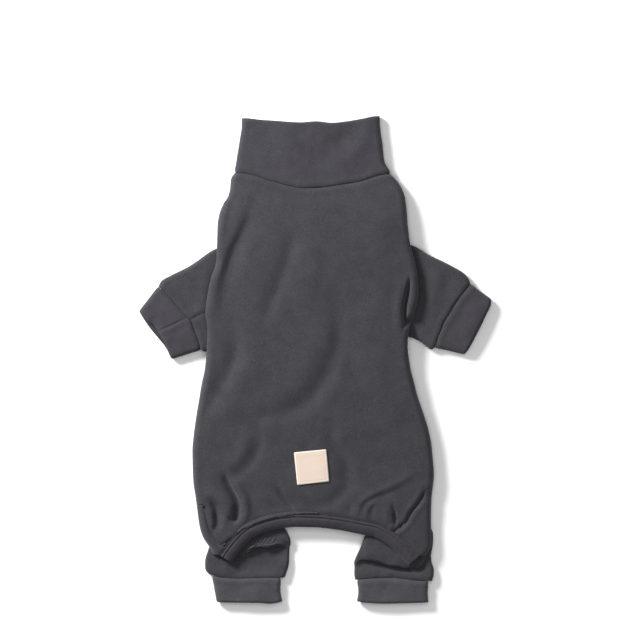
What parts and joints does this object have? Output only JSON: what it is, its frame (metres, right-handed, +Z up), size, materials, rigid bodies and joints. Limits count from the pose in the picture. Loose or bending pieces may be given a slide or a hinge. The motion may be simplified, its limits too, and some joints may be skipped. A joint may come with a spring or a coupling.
{
  "type": "dog jumpsuit",
  "caption": "Four-legged fleece dog jumpsuit with a high collar, cuffed sleeves and legs, a hem band over an open rear and a bare square leather patch, lying flat.",
  "frame": {"origin": "middle of the garment's footprint, on the surface that it lies on", "axes": "+Y from the rear legs to the collar, +X to the right as seen from above with the collar up, +Z up"},
  "size_m": [0.3874, 0.5323, 0.022],
  "materials": {
    "fleece": "brushed",
    "cuff_fleece": "brushed",
    "band_fleece": "brushed",
    "leather": "matte"
  },
  "bodies": {
    "root": {"back_panel": "fleece", "belly_panel": "fleece", "hem_band": "band_fleece", "collar": "cuff_fleece", "label_patch": "leather", "thigh_left": "fleece", "thigh_right": "fleece", "sleeve_left": "fleece", "sleeve_right": "fleece", "leg_left": "fleece", "leg_right": "fleece", "sleeve_cuff_left": "cuff_fleece", "sleeve_cuff_right": "cuff_fleece", "leg_cuff_left": "cuff_fleece", "leg_cuff_right": "cuff_fleece"}
  },
  "joints": []
}
